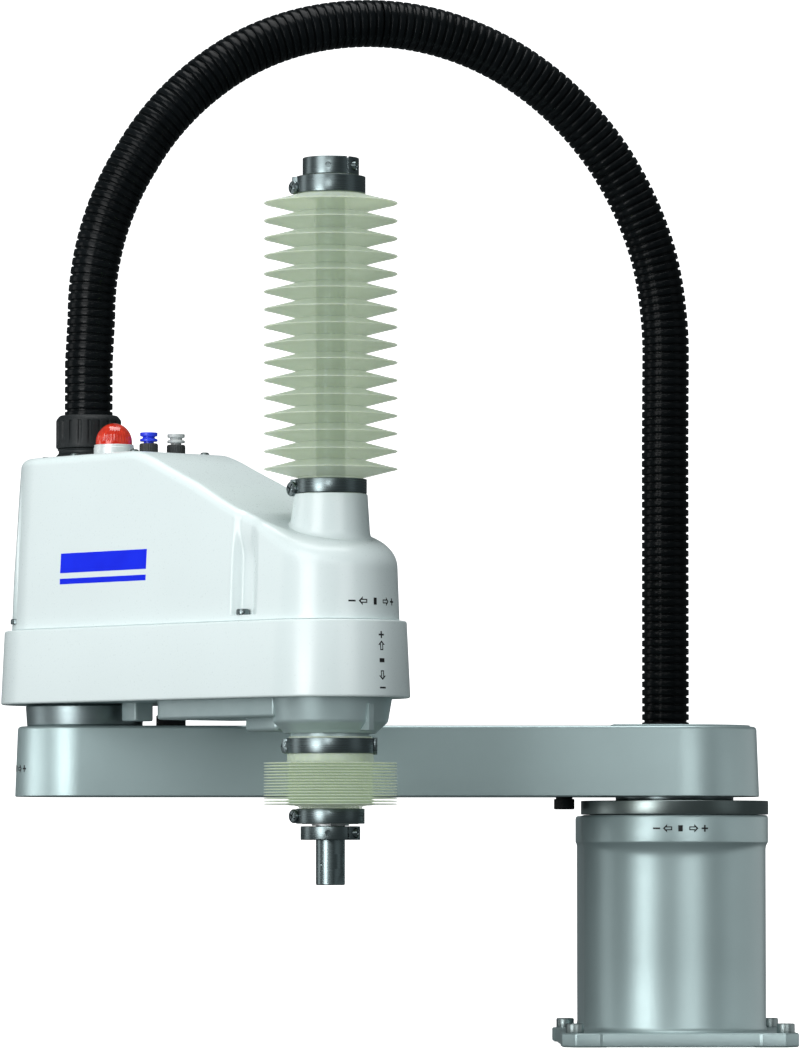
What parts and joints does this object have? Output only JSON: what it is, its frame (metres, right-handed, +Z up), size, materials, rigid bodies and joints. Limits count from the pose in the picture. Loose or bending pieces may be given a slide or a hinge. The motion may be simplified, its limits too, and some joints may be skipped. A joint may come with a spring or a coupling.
{
  "type": "scara robot arm",
  "caption": "Cleanroom SCARA robot arm whose links swing on vertical axes and carry a hollow spindle that slides and turns inside bellows, fed by a corrugated hose.",
  "frame": {"origin": "where the first joint's axis meets the base's mounting plane", "axes": "+Z up along the joint axes; -X along the first link at rest; +Y towards the base's connector panel"},
  "size_m": [0.5699, 0.4212, 0.761],
  "materials": {
    "casting_paint": "satin",
    "white_cover": "satin",
    "bright_steel": "satin",
    "dark_steel": "satin",
    "black_plastic": "matte",
    "hose_plastic": "satin",
    "bellows_film": "satin",
    "lamp_red": "gloss",
    "blue_plastic": "satin",
    "grey_plastic": "satin",
    "motor_black": "satin",
    "belt_rubber": "matte",
    "bare_aluminium": "satin"
  },
  "bodies": {
    "base": {"base_casting": "casting_paint", "mount_bolt_1": "bright_steel", "mount_bolt_2": "bright_steel", "mount_bolt_3": "bright_steel", "mount_bolt_4": "bright_steel", "j1_bearing_disc": "bright_steel", "j1_reducer": "bare_aluminium", "j1_motor": "motor_black", "rear_connector_panel": "bare_aluminium", "power_connector": "black_plastic", "signal_connector": "black_plastic", "base_hose_gland": "black_plastic", "hose_base_half": "hose_plastic"},
    "arm_1": {"arm_1_casting": "casting_paint", "j1_output_flange": "dark_steel", "j1_stopper_bolt": "dark_steel", "j2_drum": "dark_steel", "j2_stopper_block": "black_plastic"},
    "arm_2": {"arm_2_casting": "casting_paint", "arm_2_lower_cover": "white_cover", "arm_2_upper_cover": "white_cover", "top_plate": "white_cover", "cover_screw_1": "bright_steel", "cover_screw_2": "bright_steel", "cover_screw_3": "bright_steel", "cover_screw_4": "bright_steel", "j2_reducer": "bare_aluminium", "j2_motor": "motor_black", "motor_bracket": "bare_aluminium", "u_motor": "motor_black", "u_belt": "belt_rubber", "z_motor": "motor_black", "z_brake": "bare_aluminium", "z_belt": "belt_rubber", "hose_gland_base": "black_plastic", "hose_gland_nut": "black_plastic", "lamp_base": "bright_steel", "lamp_lens": "lamp_red", "d_sub_connector": "bright_steel", "air_fitting_blue_body": "black_plastic", "air_fitting_white_body": "black_plastic", "upper_bellows_bottom_clamp": "dark_steel", "lower_bellows_top_clamp": "dark_steel", "upper_bellows": "bellows_film", "hose_arm_half": "hose_plastic"},
    "z_carriage": {"upper_bellows_top_clamp": "dark_steel", "upper_bellows_holder": "bare_aluminium", "lower_bellows_bottom_clamp": "dark_steel", "lower_bellows_holder": "bare_aluminium", "lower_bellows": "bellows_film"},
    "spindle": {"spindle_shaft": "bright_steel", "upper_shaft_collar": "dark_steel", "lower_shaft_collar": "dark_steel"},
    "ball_screw_drive": {"ball_screw_nut": "bright_steel"},
    "z_drive": {"z_motor_pulley": "bare_aluminium"},
    "spline_drive": {"spline_nut": "bright_steel"},
    "u_drive": {"u_motor_pulley": "bare_aluminium"},
    "brake_button": {"brake_release_button": "black_plastic"},
    "blue_release_ring": {"air_fitting_blue_ring": "blue_plastic"},
    "white_release_ring": {"air_fitting_white_ring": "grey_plastic"}
  },
  "joints": [
    {"name": "j1_swing", "type": "hinge", "parent": "base", "child": "arm_1", "pos_m": [0, 0, 0.178], "axis": [0, 0, 1], "range_deg": [-42, 222], "deforming": ["hose_base_half"]},
    {"name": "j2_swing", "type": "hinge", "parent": "arm_1", "child": "arm_2", "pos_m": [-0.425, 0, 0.244], "axis": [0, 0, 1], "range_deg": [-279.5, 20.5], "deforming": ["hose_arm_half"]},
    {"name": "z_slide", "type": "slide", "parent": "arm_2", "child": "z_carriage", "axis": [0, 0, -1], "range_m": [0, 0.17], "deforming": ["upper_bellows", "lower_bellows"]},
    {"name": "u_spin", "type": "hinge", "parent": "z_carriage", "child": "spindle", "pos_m": [-0.25008, -0.2122, 0.3], "axis": [0, 0, 1], "range_deg": [-360, 360]},
    {"name": "ball_screw_nut_spin", "type": "hinge", "parent": "arm_2", "child": "ball_screw_drive", "pos_m": [-0.25008, -0.2122, 0.29], "axis": [0, 0, 1], "range_deg": [-10, 3080]},
    {"name": "z_motor_pulley_spin", "type": "hinge", "parent": "arm_2", "child": "z_drive", "pos_m": [-0.32005, -0.12732, 0.288], "axis": [0, 0, 1], "range_deg": [-20, 6160]},
    {"name": "spline_nut_spin", "type": "hinge", "parent": "arm_2", "child": "spline_drive", "pos_m": [-0.25008, -0.2122, 0.25], "axis": [0, 0, 1], "range_deg": [-361, 361]},
    {"name": "u_motor_pulley_spin", "type": "hinge", "parent": "arm_2", "child": "u_drive", "pos_m": [-0.36457, -0.0733, 0.267], "axis": [0, 0, 1], "range_deg": [-722, 722]},
    {"name": "brake_button_press", "type": "slide", "parent": "arm_2", "child": "brake_button", "axis": [0, 0, -1], "range_m": [0, 0.002], "stiffness_N_per_m": 600},
    {"name": "blue_ring_press", "type": "slide", "parent": "arm_2", "child": "blue_release_ring", "axis": [0, 0, -1], "range_m": [0, 0.001], "stiffness_N_per_m": 800},
    {"name": "white_ring_press", "type": "slide", "parent": "arm_2", "child": "white_release_ring", "axis": [0, 0, -1], "range_m": [0, 0.001], "stiffness_N_per_m": 800}
  ],
  "couplings": [
    {"joint": "ball_screw_nut_spin", "follows": "z_slide", "rad_per_m": 314.16},
    {"joint": "z_motor_pulley_spin", "follows": "z_slide", "rad_per_m": 628.32},
    {"joint": "spline_nut_spin", "follows": "u_spin", "ratio": 1},
    {"joint": "u_motor_pulley_spin", "follows": "u_spin", "ratio": 2}
  ]
}
